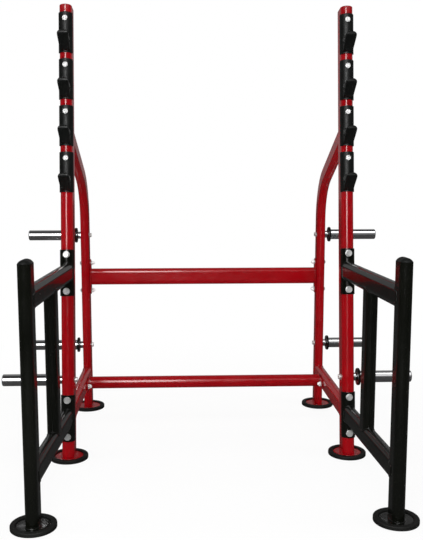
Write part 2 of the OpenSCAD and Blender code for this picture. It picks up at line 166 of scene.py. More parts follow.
def facing_back(side, depth, t):
    return on_main(side) @ Matrix.Translation((0, depth, t)) @ Matrix.Rotation(-math.pi / 2, 4, "X")


def front_t(z):
    return (z - MAIN_D / 2 * math.sin(LEAN)) / math.cos(LEAN)


def hook_t(side, i):
    """Height along the upright of a hook's lower edge."""
    low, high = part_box(f"bar_hook_{side}_{i}")
    top = (high.z / MM - (MAIN_D / 2 + HOOK_T) * math.sin(LEAN)) / math.cos(LEAN)
    return top - HOOK_L


# ---- Mesh code. A shape is (vertices, faces) ----


def stack(rings, loop=False):
    """Quads between equal rings. The ends are capped, or with loop the last ring meets the first."""
    n = len(rings[0])
    verts = [Vector(p) for ring in rings for p in ring]
    pairs = len(rings) if loop else len(rings) - 1
    faces = []
    for k in range(pairs):
        a, b = k * n, (k + 1) % len(rings) * n
        for i in range(n):
            j = (i + 1) % n
            faces.append((a + i, a + j, b + j, b + i))
    if not loop:
        faces.append(tuple(reversed(range(n))))
        faces.append(tuple(range(len(verts) - n, len(verts))))
    return verts, faces


def placed(shape, matrix):
    return [matrix @ v for v in shape[0]], shape[1]


def joined(shapes):
    verts, faces = [], []
    for v, f in shapes:
        base = len(verts)
        verts += v
        faces += [tuple(base + i for i in face) for face in f]
    return verts, faces


def polar(spec, n=48, loop=False):
    """Turned solid along Z from (radius, height) pairs, each of which may be a function of the angle."""
    rings = []
    for r, z in spec:
        ring = []
        for i in range(n):
            a = 2 * math.pi * i / n
            radius = r(a) if callable(r) else r
            height = z(a) if callable(z) else z
            ring.append((radius * math.cos(a), radius * math.sin(a), height))
        rings.append(ring)
    return stack(rings, loop)


def round_corner(r, z, size, turn, steps=4):
    """Quarter circle of a profile, its corner at (r, z). turn names the way the material lies."""
    points = []
    for i in range(steps + 1):
        a = math.pi / 2 * i / steps
        across, up = size * (1 - math.cos(a)), size * (1 - math.sin(a))
        if turn == "up_out":
            points.append((r - across, z - up))
        elif turn == "out_down":
            points.append((r - up, z + across))
        elif turn == "in_down":
            points.append((r + across, z - up))
        else:
            points.append((r + up, z + across))
    return points


def disc_ring(outer, inner, low, high, bevel, n=64):
    """Flat ring with rounded edges."""
    profile = round_corner(outer, high, bevel, "up_out", 3)
    profile += round_corner(inner, high, bevel, "in_down", 3)[::-1]
    profile += [(inner, low + bevel), (inner + bevel, low)]
    profile += [(outer - bevel, low), (outer, low + bevel)]
    return polar(profile, n, loop=True)


def oval(w, d, inset=0.0, steps=24):
    """Flat-oval outline, w wide along X and d long along Y."""
    r = w / 2 - inset
    points = []
    for centre, start in (((d - w) / 2, 0.0), (-(d - w) / 2, math.pi)):
        for i in range(steps + 1):
            a = start + math.pi * i / steps
            points.append((r * math.cos(a), centre + r * math.sin(a)))
    return points


def oval_stack(w, d, levels):
    """Flat-oval solid from (inset, height) pairs."""
    return stack([[(x, y, z) for x, y in oval(w, d, inset)] for inset, z in levels])


def bevelled_levels(low, high, bevel, steps=3):
    turns = [math.pi / 2 * i / steps for i in range(steps + 1)]
    rise = [(bevel * (1 - math.sin(a)), bevel * (1 - math.cos(a))) for a in turns]
    return [(inset, low + up) for inset, up in rise] + [(inset, high - up) for inset, up in reversed(rise)]


def rounded_rectangle(width, length, radius, steps_w=14, steps_l=20, steps_c=4):
    corners = [(1, -1), (1, 1), (-1, 1), (-1, -1)]
    arcs = []
    for k, (sx, sy) in enumerate(corners):
        cx, cy = sx * (width / 2 - radius), sy * (length / 2 - radius)
        arc = []
        for i in range(steps_c + 1):
            a = math.radians(90 * (k - 1) + 90 * i / steps_c)
            arc.append(Vector((cx + radius * math.cos(a), cy + radius * math.sin(a))))
        arcs.append(arc)
    points = []
    for k, arc in enumerate(arcs):
        points += arc
        target = arcs[(k + 1) % 4][0]
        steps = steps_l if k % 2 == 0 else steps_w
        points += [arc[-1].lerp(target, i / steps) for i in range(1, steps)]
    return points


def wrapped_plate(inner, outer, half_angle, length, corner, bevel):
    """Plate bent round the front of the main tube, with round corners and edges, its lower edge at Z = 0."""
    width = 2 * outer * half_angle
    half = width / 2
    across = [half * (0.985 - 0.985 * i / 9) for i in range(9)]
    profile = [(inset, outer) for inset in across if inset > bevel]
    for i in range(4):
        a = math.pi / 2 * i / 3
        profile.append((bevel * (1 - math.sin(a)), outer - bevel * (1 - math.cos(a))))
    small = bevel / 2
    profile += [(0, inner + small), (small, inner)]
    profile += [(inset, inner) for inset in reversed(across) if inset > bevel]
    rings = []
    for inset, r in profile:
        outline = rounded_rectangle(width - 2 * inset, length - 2 * inset, max(corner - inset, 0.02))
        rings.append([(r * math.sin(u / outer), -main_arc_y - r * math.cos(u / outer), v + length / 2)
                      for u, v in outline])
    return stack(rings)


def inset_outline(points, distance):
    """Outline, counterclockwise, moved inward."""
    moved = []
    for i, p in enumerate(points):
        before = (p - points[i - 1]).normalized()
        after = (points[(i + 1) % len(points)] - p).normalized()
        normal = Vector((-before.y - after.y, before.x + after.x)).normalized()
        spread = max(normal.dot(Vector((-before.y, before.x))), 0.5)
        moved.append(p + normal * distance / spread)
    return moved


def arc(centre, r, start, end, steps):
    turns = [math.radians(start + (end - start) * i / steps) for i in range(steps + 1)]
    return [Vector((centre[0] + r * math.cos(a), centre[1] + r * math.sin(a))) for a in turns]


def finished(name, shape, sharp=32):
    """Mesh datablock in metres with outward normals, smooth but for its sharp edges."""
    mesh = bpy.data.meshes.new(name)
    mesh.from_pydata([v * MM for v in shape[0]], [], shape[1])
    bm = bmesh.new()
    bm.from_mesh(mesh)
    bmesh.ops.remove_doubles(bm, verts=bm.verts, dist=0.00006)
    bmesh.ops.dissolve_degenerate(bm, edges=bm.edges, dist=0.00001)
    bmesh.ops.recalc_face_normals(bm, faces=bm.faces)
    bm.to_mesh(mesh)
    bm.free()
    soften(mesh, sharp)
    return mesh


def soften(mesh, sharp):
    for polygon in mesh.polygons:
        polygon.use_smooth = True
    mesh.set_sharp_from_angle(angle=math.radians(sharp))


def linked(name, mesh):
    obj = bpy.data.objects.new(name, mesh)
    bpy.context.scene.collection.objects.link(obj)
    return obj


def piece(name, shape, slot, nodes=(), sharp=32):
    """Finished piece in the row frame that takes a slot's material and stands for the given CAD nodes."""
    mesh = shape if isinstance(shape, bpy.types.Mesh) else finished(name, shape, sharp)
    obj = linked(name, mesh)
    if not mesh.materials:
        mesh.materials.append(MATERIALS[slot])
    if nodes:
        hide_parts(*nodes)
    return obj


def combined(target, other, operation):
    """Target's mesh after a Boolean with the other object, which is used up."""
    modifier = target.modifiers.new("combine", "BOOLEAN")
    modifier.operation = operation
    modifier.solver = "EXACT"
    modifier.object = other
    view = bpy.context.evaluated_depsgraph_get()
    mesh = bpy.data.meshes.new_from_object(target.evaluated_get(view), depsgraph=view)
    target.modifiers.clear()
    target.data = mesh
    bpy.data.objects.remove(other)


# ---- Materials ----


class Tree:
    """Short way to add nodes to a material or world."""

    def __init__(self, owner):
        owner.use_nodes = True
        self.tree = owner.node_tree
        self.tree.nodes.clear()

    def add(self, kind, inputs=None, **settings):
        made = self.tree.nodes.new("ShaderNode" + kind)
        for key, value in settings.items():
            setattr(made, key, value)
        for key, value in (inputs or {}).items():
            if isinstance(value, bpy.types.NodeSocket):
                self.tree.links.new(value, made.inputs[key])
            else:
                made.inputs[key].default_value = value
        return made

    def noise(self, place, scale, detail=3.0, rough=0.55):
        inputs = {"Vector": place, "Scale": scale, "Detail": detail, "Roughness": rough}
        return self.add("TexNoise", inputs).outputs["Fac"]

    def ramp(self, value, low, high, to_low=0.0, to_high=1.0):
        return self.add("MapRange", {"Value": value, "From Min": low, "From Max": high,
                                     "To Min": to_low, "To Max": to_high}).outputs["Result"]

    def mix(self, factor, a, b, blend="MIX"):
        made = self.add("Mix", data_type="RGBA", blend_type=blend)
        for socket, value in ((made.inputs[0], factor), (made.inputs[6], a), (made.inputs[7], b)):
            if isinstance(value, bpy.types.NodeSocket):
                self.tree.links.new(value, socket)
            else:
                socket.default_value = value
        return made.outputs[2]

    def times(self, a, b):
        return self.add("Math", {0: a, 1: b}, operation="MULTIPLY").outputs[0]

    def shaded(self, colour, shade):
        """Colour darkened by a value from 0 to 1."""
        grey = self.add("CombineColor", {0: shade, 1: shade, 2: shade}).outputs[0]
        return self.mix(1.0, colour, grey, "MULTIPLY")

    def bump(self, height, strength, distance, normal=None):
        inputs = {"Height": height, "Strength": strength, "Distance": distance}
        if normal is not None:
            inputs["Normal"] = normal
        return self.add("Bump", inputs).outputs["Normal"]

    def place(self, stretch=(1, 1, 1)):
        coordinates = self.add("TexCoord").outputs["Object"]
        return self.add("Mapping", {"Vector": coordinates, "Scale": stretch}).outputs["Vector"]

    def corners(self, radius):
        """1 on flat surfaces, less within the radius of an edge."""
        rounded = self.add("Bevel", {"Radius": radius}, samples=6).outputs["Normal"]
        plain = self.add("NewGeometry").outputs["Normal"]
        return self.add("VectorMath", {0: rounded, 1: plain}, operation="DOT_PRODUCT").outputs["Value"]

    def crevice_shade(self, distance):
        return self.add("AmbientOcclusion", {"Distance": distance}, samples=6).outputs["AO"]

    def surface(self, **inputs):
        shader = self.add("BsdfPrincipled", {k.replace("_", " "): v for k, v in inputs.items()})
        self.tree.links.new(shader.outputs[0], self.add("OutputMaterial").inputs[0])


def paint(name, deep, bright, worn, rough, coat, coat_rough, peel):
    """Sprayed enamel: orange peel, uneven depth of colour, thin paint on edges, and painted shade that
    darkens crevices and inside corners.
    """
    mat = bpy.data.materials.new(name)
    t = Tree(mat)
    place = t.place()
    cloud = t.ramp(t.noise(place, 5.0, 4.0), 0.3, 0.7)
    colour = t.mix(cloud, deep, bright)
    fleck = t.ramp(t.noise(place, 900.0, 2.0, 0.7), 0.55, 0.8, 0.0, 0.18)
    colour = t.mix(fleck, colour, bright)
    edges = t.ramp(t.corners(0.0022), 0.99, 0.8)
    rubbed = t.times(edges, t.ramp(t.noise(place, 70.0, 5.0, 0.7), 0.5, 0.62))
    colour = t.mix(t.times(rubbed, 0.45), colour, worn)
    # Painted shade: ambient occlusion darkens the colour in crevices and inside corners
    colour = t.shaded(colour, t.ramp(t.crevice_shade(0.012), 0.2, 0.85, 0.62, 1.0))
    smear = t.ramp(t.noise(place, 22.0, 5.0, 0.65), 0.35, 0.7, rough - 0.05, rough + 0.08)
    orange_peel = t.bump(t.noise(place, 340.0, 2.0, 0.5), peel, 0.0006)
    fine = t.bump(t.noise(place, 1500.0, 1.0, 0.5), peel * 0.35, 0.0002, orange_peel)
    t.surface(Base_Color=colour, Roughness=smear, Specular_IOR_Level=0.35, Coat_Weight=coat,
              Coat_Roughness=coat_rough, Normal=fine, Coat_Normal=orange_peel)
    return mat


def moulded(name, deep, bright, rough, grain, grain_scale):
    """Moulded plastic or rubber: fine pebble grain, slight sheen changes, pale scuffs on edges, and painted
    shade in crevices.
    """
    mat = bpy.data.materials.new(name)
    t = Tree(mat)
    place = t.place()
    colour = t.mix(t.ramp(t.noise(place, 14.0, 5.0, 0.6), 0.3, 0.7), deep, bright)
    scuff = t.ramp(t.noise(t.place((1, 1, 0.12)), 240.0, 5.0, 0.75), 0.58, 0.75, 0.0, 0.35)
    colour = t.mix(t.times(t.ramp(t.corners(0.0018), 0.99, 0.8), scuff), colour, (0.06, 0.06, 0.058, 1))
    # Painted shade: ambient occlusion darkens the colour in crevices and where parts meet
    colour = t.shaded(colour, t.ramp(t.crevice_shade(0.01), 0.2, 0.85, 0.6, 1.0))
    sheen = t.ramp(t.noise(place, 35.0, 4.0, 0.6), 0.3, 0.7, rough - 0.06, rough + 0.08)
    cells = t.add("TexVoronoi", {"Vector": place, "Scale": grain_scale, "Randomness": 0.9})
    pebbled = t.bump(cells.outputs["Distance"], grain, 0.00035)
    wavy = t.bump(t.noise(place, 60.0, 3.0), 0.12, 0.0008, pebbled)
    t.surface(Base_Color=colour, Roughness=sheen, Specular_IOR_Level=0.3, Normal=wavy)
    return mat


def metal(name, base, tint, rough, spread, scratch_stretch, scratch, metallic=1.0):
    """Plated steel: cloudy reflection, faint tint, fine scratches along one way, and painted shade in
    crevices.
    """
    mat = bpy.data.materials.new(name)
    t = Tree(mat)
    place = t.place()
    colour = t.mix(t.ramp(t.noise(place, 45.0, 4.0, 0.6), 0.35, 0.7), base, tint)
    # Painted shade: ambient occlusion darkens the colour in crevices and under heads
    colour = t.shaded(colour, t.ramp(t.crevice_shade(0.006), 0.15, 0.8, 0.45, 1.0))
    lines = t.noise(t.place(scratch_stretch), 160.0, 6.0, 0.7)
    haze = t.ramp(t.noise(place, 28.0, 5.0, 0.6), 0.3, 0.7, rough, rough + spread)
    fine = t.bump(lines, scratch, 0.0002)
    t.surface(Base_Color=colour, Metallic=metallic, Roughness=haze, Normal=fine)
    return mat


MATERIALS = {
    "red_paint": paint(
        "red_enamel", deep=(0.245, 0.0002, 0.0020, 1), bright=(0.31, 0.0006, 0.0040, 1),
        worn=(0.50, 0.04, 0.04, 1), rough=0.20, coat=0.25, coat_rough=0.05, peel=0.012),
    "black_paint": paint(
        "black_enamel", deep=(0.0018, 0.0021, 0.0013, 1), bright=(0.0036, 0.0040, 0.0028, 1),
        worn=(0.011, 0.0115, 0.010, 1), rough=0.20, coat=0.25, coat_rough=0.05, peel=0.006),
    "black_plastic": moulded(
        "hook_plastic", deep=(0.0022, 0.0028, 0.0024, 1), bright=(0.0052, 0.0060, 0.0054, 1),
        rough=0.46, grain=0.16, grain_scale=1400.0),
    "black_rubber": moulded(
        "foot_rubber", deep=(0.0034, 0.0036, 0.0030, 1), bright=(0.0070, 0.0073, 0.0065, 1),
        rough=0.64, grain=0.30, grain_scale=900.0),
    "chrome": metal(
        "chrome_plate", base=(0.88, 0.88, 0.89, 1), tint=(0.80, 0.80, 0.81, 1),
        rough=0.05, spread=0.06, scratch_stretch=(0.15, 1, 1), scratch=0.03),
    "zinc": metal(
        "zinc_plate", base=(0.62, 0.62, 0.61, 1), tint=(0.50, 0.50, 0.49, 1),
        rough=0.30, spread=0.16, scratch_stretch=(1, 1, 0.2), scratch=0.10, metallic=0.6),
}

# The tubes stay as the CAD made them and take the finished paint
carried = {"rear_beam": "red_paint", "lower_crossbar": "red_paint"}
for side, _ in SIDES:
    for part in ("rear_upright", "lower_side_rail"):
        carried[f"{part}_{side}"] = "red_paint"
    for part in ("front_post", "safety_rail", "lower_guard_rail", "guard_strut"):
        carried[f"{part}_{side}"] = "black_paint"
for name, slot in carried.items():
    tube = frame["nodes"][name]
    for holder in tube.material_slots:
        holder.material = MATERIALS[slot]

# ---- Main uprights ----


def main_foot_line():
    """The tube's level foot, in the leaning tube's own axes."""
    return [(x, y, (PLATE_TOP + y * math.sin(LEAN)) / math.cos(LEAN)) for x, y in oval(MAIN_W, MAIN_D)]


def main_upright():
    rings = [main_foot_line()]
    levels = [(0, 40 + (main_length - 80) * i / 24) for i in range(25)]
    levels += bevelled_levels(0, main_length, 3.0, 5)[6:]
    rings += [[(x, y, t) for x, y in oval(MAIN_W, MAIN_D, inset)] for inset, t in levels]
    return stack(rings)


for side, sign in SIDES:
    tube = placed(main_upright(), on_main(sign))
    piece(f"upright_tube_{side}", tube, "red_paint", [f"main_upright_{side}"])

# ---- Bar hooks: one mesh, shared by all eight ----


def tongue_outline():
    """Side of the tongue: back, underside, round tip, seat and the rise behind the seat."""
    seat_centre = (SEAT_ROOT + SEAT_R, SEAT_Z)
    outline = [Vector(p) for p in ((TONGUE_BACK, 8), (6, 7.2), (10, 7.6), (13, 9.2))]
    outline += [Vector(TONGUE_ROOT).lerp(Vector((70.21, 54.17)), i / 10) for i in range(1, 10)]
    outline += arc(TONGUE_TIP, TONGUE_TIP_R, -51.6, 88, 24)
    outline += arc((60.4, 67.4), 4.6, 98, 150, 6)
    outline += [Vector((56.5, 68.6)).lerp(Vector((42, SEAT_Z)), i / 16) for i in range(1, 16)]
    outline += arc(seat_centre, SEAT_R, -4, -180, 22)
    outline += [Vector((SEAT_ROOT, h)) for h in (56, 60, 64)]
    outline += [Vector(p) for p in ((5.6, 68.0), (3.5, 71.2), (-8, TONGUE_TOP), (TONGUE_BACK, 68))]
    return outline


def tongue_half_width(h):
    """Widens a little up the tongue and rounds off at its upper corners."""
    across, up = TONGUE_CORNER
    over = max(h - (TONGUE_TOP - up), 0) / up
    spread = TONGUE_SPREAD * min(max((h - 15) / 35, 0), 1)
    return TONGUE_HALF_W + spread - across + across * math.sqrt(max(1 - over ** 2, 0))


def tongue_shape():
    half, bevel, outline = TONGUE_HALF_W, TONGUE_BEVEL, tongue_outline()
    levels = []
    for i in range(6):
        a = math.pi / 2 * i / 5
        levels.append((bevel * (1 - math.sin(a)), half - bevel * (1 - math.cos(a))))
    sections = [(inset, -x) for inset, x in levels] + [(inset, x) for inset, x in reversed(levels)]
    rings = []
    for inset, x in sections:
        rings.append([(x / half * tongue_half_width(h), -MAIN_D / 2 - d, h)
                      for d, h in inset_outline(outline, inset)])
    return stack(rings)


def hook_mesh():
    plate = wrapped_plate(saddle_inner_r, MAIN_W / 2 + HOOK_T, math.radians(90), HOOK_L, 6, 1.2)
    shell = linked("hook_shell", finished("hook_shell", plate))
    tongue = linked("hook_tongue", finished("hook_tongue", tongue_shape()))
    # Keeps the tongue's back inside the shell, clear of the tube
    core_r = MAIN_W / 2 + 2.2
    core = placed(polar([(core_r, -20), (core_r, 200)], 96), Matrix.Translation((0, -main_arc_y, 0)))
    combined(tongue, linked("hook_cutter", finished("hook_cutter", core)), "DIFFERENCE")
    combined(shell, tongue, "UNION")
    seat_at = Matrix.Translation((0, -MAIN_D / 2 - BOLT_SEAT - 4, HOOK_L - HOOK_BOLT_DROP))
    seat = placed(polar([(BOLT_SEAT_R, -4), (BOLT_SEAT_R, 30)], 64),
                  seat_at @ Matrix.Rotation(math.pi / 2, 4, "X"))
    combined(shell, linked("hook_seat", finished("hook_seat", seat)), "DIFFERENCE")
    mesh = shell.data
    bpy.data.objects.remove(shell)
    soften(mesh, 28)
    return mesh


hook = hook_mesh()
hook.materials.clear()
for side, sign in SIDES:
    for i in range(1, HOOKS + 1):
        obj = piece(f"hook_{side}_{i}", hook, "black_plastic", [f"bar_hook_{side}_{i}"])
        m = on_main(sign) @ Matrix.Translation((0, 0, hook_t(side, i)))
        m.translation *= MM
        obj.matrix_world = m

# ---- Saddle plates, end plates and post caps ----

for side, sign in SIDES:
    for part, z in (("upper_saddle_plate", safety_z), ("lower_saddle_plate", guard_z)):
        plate = wrapped_plate(saddle_inner_r, saddle_outer_r, math.radians(90), SADDLE_L, 5, 1.3)
        at = on_main(sign) @ Matrix.Translation((0, 0, front_t(z) - SADDLE_L / 2))
        piece(f"clamp_{part}_{side}", placed(plate, at), "black_paint", [f"{part}_{side}"])

    cap_r = FRAME_W / 2
    rise = top_of(f"post_cap_{side}") - post_top
    dome_r = (cap_r ** 2 + rise ** 2) / (2 * rise)
    levels = [(SKIRT_INSET, post_top - SKIRT_DEPTH), (SKIRT_INSET, post_top - 0.2)]
    levels += [(1.0, post_top - 0.1), (0.35, post_top + 0.25), (0.05, post_top + 0.8)]
    for i in range(1, 15):
        reach = cap_r * math.cos(math.pi / 2 * i / 14)
        z = post_top + rise - dome_r + math.sqrt(dome_r ** 2 - reach ** 2)
        if z > post_top + 1.0:
            levels.append((cap_r - max(reach, 0.12), z))
    at = in_side_frame(sign) @ Matrix.Translation((0, -front_reach, 0))
    cap = placed(oval_stack(FRAME_W, POST_D, levels), at)
    piece(f"dome_cap_{side}", cap, "black_plastic", [f"post_cap_{side}"])

flat_plate = oval_stack(END_PLATE_W, END_PLATE_L, bevelled_levels(0, end_plate_t, 1.2))
upright_plate = placed(flat_plate, Matrix.Rotation(math.pi / 2, 4, "Z"))
piece("beam_plates", joined([
    placed(upright_plate, facing_out(s, s * beam_end_x, rear_y, beam_z)) for _, s in SIDES
]), "red_paint", ["beam_end_plates"])
piece("crossbar_plates", joined([
    placed(flat_plate, facing_out(s, s * bar_end_x, bar_y, low_z)) for _, s in SIDES
]), "red_paint", ["crossbar_end_plates"])

# ---- Weight pegs with their flanges and spacers ----

PEGS = ("main", "rear_upper", "rear_lower")
peg_places = {}
for side, sign in SIDES:
    for name in PEGS:
        low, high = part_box(f"weight_peg_{name}_{side}")
        centre = (low + high) / 2 / MM
        width = MAIN_W if name == "main" else REAR_W
        face_x = sign * (half_spacing + width / 2)
        peg_places[name, side] = (sign, face_x, centre.y, centre.z, width)
        length = (high.x - low.x) / MM
        inner_x = (low if sign > 0 else high).x / MM
        r, tip_r = (high.z - low.z) / MM / 2, 5
        profile = [(HOLE_R, 0), (r - 0.8, 0), (r, 0.8)]
        profile += [(r, length * k / 12) for k in range(1, 12)]
        # A fine groove near the tip
        profile += [(r, length - 11.4), (r - 0.35, length - 11.1)]
        profile += [(r - 0.35, length - 10.7), (r, length - 10.4)]
        profile += [(r - tip_r + tip_r * math.cos(a), length - tip_r + tip_r * math.sin(a))
                    for a in (math.pi / 2 * k / 7 for k in range(8))]
        profile += [(r * 0.6, length), (r * 0.3, length)]
        at = facing_out(sign, inner_x, centre.y, centre.z)
        piece(f"peg_{name}_{side}", placed(polar(profile, 72), at), "chrome", [f"weight_peg_{name}_{side}"])

flanges, spacers = [], []
for sign, x, y, z, width in peg_places.values():
    at = facing_out(sign, x, y, z)
    flanges.append(placed(disc_ring(FLANGE_R, HOLE_R, SPACER_L, SPACER_L + FLANGE_T, 1.6, 72), at))
    spacers.append(placed(disc_ring(SPACER_R, HOLE_R, 0, SPACER_L, 0.8, 56), at))
piece("flange_rings", joined(flanges), "black_paint", ["peg_flanges"])
piece("spacer_rings", joined(spacers), "chrome", ["peg_spacers"])

# ---- Feet ----

for side, sign in SIDES:
    for foot, colour in (("main", "red_paint"), ("rear", "red_paint"), ("front", "black_paint")):
        low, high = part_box(f"foot_plate_{foot}_{side}")
        centre = (low + high) / 2 / MM
        r = (high.x - low.x) / MM / 2
        bottom, top = low.z / MM, high.z / MM
        profile = [(r * 0.5, bottom), (r - 0.6, bottom), (r, bottom + 0.6)]
        profile += round_corner(r, top, 1.6, "up_out", 4) + [(r * 0.8, top), (r * 0.4, top)]
        at = Matrix.Translation((centre.x, centre.y, 0))
        disc = placed(polar(profile, 96), at)
        piece(f"foot_disc_{foot}_{side}", disc, colour, [f"foot_plate_{foot}_{side}"])
        low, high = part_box(f"rubber_foot_{foot}_{side}")
        outer, rim = (high.x - low.x) / MM / 2, high.z / MM
        inner, edge = r + WELD_GAP, 4
        # Underside, outer wall with a fine groove, round rim, recess for the steel plate
        profile = [(outer * 0.45, 0), (outer * 0.8, 0), (outer - 1.2, 0), (outer - 0.3, 0.4), (outer, 1.3)]
        profile += [(outer, 3.6), (outer - 0.5, 4.1), (outer - 0.5, 4.7), (outer, 5.2), (outer, rim - edge)]
        profile += [(outer - edge + edge * math.cos(a), rim - edge + edge * math.sin(a))
                    for a in (math.pi / 2 * k / 6 for k in range(1, 7))]
        profile += [(inner + edge - edge * math.sin(a), rim - edge + edge * math.cos(a))
                    for a in (math.pi / 2 * k / 6 for k in range(7))]
        profile += [(inner, bottom), (inner * 0.9, bottom), (inner * 0.45, bottom)]
        piece(f"foot_cup_{foot}_{side}", placed(polar(profile, 96), at), "black_rubber",
              [f"rubber_foot_{foot}_{side}"])

# ---- Fasteners ----


def hexagon(flats, limit=1.135):
    """Radius of a hexagon by angle, with slightly round corners."""
    def radius(a):
        off = (a + math.pi / 6) % (math.pi / 3) - math.pi / 6
        return min(flats / 2 / math.cos(off), flats / 2 * limit)
    return radius


def under_cone(outline, flats, drop):
    return lambda a: min(outline(a), flats / 2 * 0.985 + drop * 1.73)


def shank(length, thread):
    """Profile of a bolt's shank from its end up to the head, with the last stretch threaded."""
    points = [(BOLT_R - 1.3, -length), (BOLT_R - 0.1, -length + 1.2)]
    z = -length + 1.6
    while z < -length + thread:
        points += [(BOLT_R - 0.75, z), (BOLT_R - 0.05, z + 0.85)]
        z += 1.7
    return points + [(BOLT_R - 0.05, z + 0.4), (BOLT_R - 0.05, -0.3)]


def hex_bolt(flats, h, length, thread=8):
    outline = hexagon(flats)
    profile = shank(length, thread) + [(flats * 0.46, 0), (outline, 0.35), (outline, h * 0.5)]
    profile += [(under_cone(outline, flats, drop), h - drop) for drop in CHAMFER]
    profile += [(flats * 0.42, h - 0.25), (flats * 0.2, h - 0.25)]
    return polar(profile, 72)


def button_bolt(length):
    r, h, socket = BUTTON_R, BUTTON_H, hexagon(SOCKET)
    dome = (r ** 2 + h ** 2) / (2 * h)
    profile = shank(length, 6) + [(r - 0.5, 0), (r, 0.5)]
    for k in range(1, 9):
        reach = r + (5.0 - r) * k / 8
        profile.append((reach, h - dome + math.sqrt(dome ** 2 - reach ** 2)))
    profile += [(lambda a: socket(a) + 0.35, h - 0.95), (socket, h - 1.35), (socket, h - 4.0),
                (lambda a: socket(a) * 0.55, h - 4.6)]
    return polar(profile, 72)


def plain_nut(flats, h):
    outline = hexagon(flats)
    profile = [(under_cone(outline, flats, drop), drop) for drop in reversed(CHAMFER)]
    profile += [(under_cone(outline, flats, drop), h - drop) for drop in CHAMFER]
    profile += [(BOLT_R + 1.4, h), (BOLT_R + 0.2, h - 1.0), (BOLT_R + 0.2, 1.0), (BOLT_R + 1.4, 0)]
    return polar(profile, 72, loop=True)


def dome_nut(flats, h):
    outline = hexagon(flats)
    r = flats / 2 - 1.5
    profile = [(BOLT_R + 0.2, h - 0.5), (BOLT_R + 0.2, 1.0), (BOLT_R + 1.4, 0)]
    profile += [(flats * 0.46, 0), (outline, 0.4), (outline, h * 0.5)]
    profile += [(under_cone(outline, flats, drop), h - drop) for drop in (1.1, 0.8, 0.5, 0.25, 0.0)]
    profile += [(r + 0.4, h), (r, h + 0.4)]
    profile += [(r * math.cos(a), h - 0.5 + r * math.sin(a))
                for a in (math.pi / 2 * k / 9 for k in range(1, 9))]
    profile.append((0.4, h - 0.5 + r))
    return polar(profile, 72)


def flat_washer():
    return disc_ring(SMALL_WASHER_R, HOLE_R, 0, WASHER_T, 0.45, 56)


def saddle_washer(round_r):
    """Washer with one side hollowed to sit on a tube, its top at Z = WASHER_T."""
    def under(r):
        return lambda a: math.sqrt(round_r ** 2 - (r * math.cos(a)) ** 2) - round_r
    outer, top = BIG_WASHER_R, WASHER_T
    profile = [(HOLE_R, under(HOLE_R)), (HOLE_R, top - 0.4), (HOLE_R + 0.4, top), (outer - 1.0, top),
               (outer - 0.3, top - 0.3), (outer, top - 1.0)]
    profile += [(outer, under(outer)), (outer * 0.75, under(outer * 0.75))]
    return polar(profile, 72, loop=True)


rail_bolts = [front_t(z) + end * SADDLE_BOLTS / 2 for z in (safety_z, guard_z) for end in (-1, 1)]
head_depth = main_arc_y + saddle_outer_r + WASHER_T
bolt_through = head_depth + MAIN_D / 2 + WASHER_T + BIG_NUT_H + THREAD_END
hook_bolts, frame_bolts, frame_nuts, frame_washers = [], [], [], []
for side, sign in SIDES:
    for i in range(1, HOOKS + 1):
        t = hook_t(side, i) + HOOK_L - HOOK_BOLT_DROP
        at = facing_front(sign, MAIN_D / 2 + BOLT_SEAT, t)
        hook_bolts.append(placed(button_bolt(BOSS_L + BOLT_SEAT + 1), at))
    for k, t in enumerate(rail_bolts):
        turn = Matrix.Rotation(math.radians(17 + 41 * k), 4, "Z")
        bolt = hex_bolt(BIG_HEX, BIG_HEAD_H, bolt_through)
        frame_bolts.append(placed(bolt, facing_front(sign, head_depth, t) @ turn))
        nut = plain_nut(BIG_HEX, BIG_NUT_H)
        frame_nuts.append(placed(nut, facing_back(sign, MAIN_D / 2 + WASHER_T, t) @ turn))
        front_washer = saddle_washer(saddle_outer_r)
        frame_washers.append(placed(front_washer, facing_front(sign, head_depth - WASHER_T, t)))
        frame_washers.append(placed(saddle_washer(MAIN_W / 2), facing_back(sign, MAIN_D / 2, t)))
# Near-white copy of the zinc for the hook screws and dome nuts: painted glare, its pale colour stands in for
# the bright reflections these heads catch
zinc_painted_glare = metal("zinc_plate_painted_glare", base=(0.98, 0.98, 0.98, 1), tint=(0.92, 0.92, 0.91, 1), rough=0.34,
                    spread=0.14, scratch_stretch=(1, 1, 0.2), scratch=0.08, metallic=0.2)
screws = piece("hook_screws", joined(hook_bolts), "zinc", ["hook_bolts"])
screws.data.materials[0] = zinc_painted_glare
piece("side_frame_hex_bolts", joined(frame_bolts), "zinc", ["side_frame_bolts"])
piece("side_frame_hex_nuts", joined(frame_nuts), "zinc", ["side_frame_nuts"])
piece("side_frame_saddle_washers", joined(frame_washers), "zinc", ["side_frame_washers"])

cross_bolts, cross_nuts, washers, peg_bolts = [], [], [], []
for side, sign in SIDES:
    for end in (-1, 1):
        for x, y, z, width in ((beam_end_x, rear_y, beam_z + end * END_BOLTS / 2, REAR_W),
                               (bar_end_x, bar_y + end * END_BOLTS / 2, low_z, FRAME_W)):
            grip = end_plate_t + width
            at = facing_out(sign, sign * x, y, z)
            turn = Matrix.Rotation(math.radians(11 + 37 * end), 4, "Z")
            out = at @ Matrix.Translation((0, 0, grip + WASHER_T))
            inward = at @ Matrix.Translation((0, 0, -WASHER_T)) @ Matrix.Rotation(math.pi, 4, "X")
            cross_bolts.append(placed(button_bolt(grip + 2 * WASHER_T + SMALL_NUT_H - 1), out))
            cross_nuts.append(placed(dome_nut(SMALL_HEX, SMALL_NUT_H), inward @ turn))
            washers.append(placed(flat_washer(), at @ Matrix.Translation((0, 0, -WASHER_T))))
            washers.append(placed(flat_washer(), at @ Matrix.Translation((0, 0, grip))))
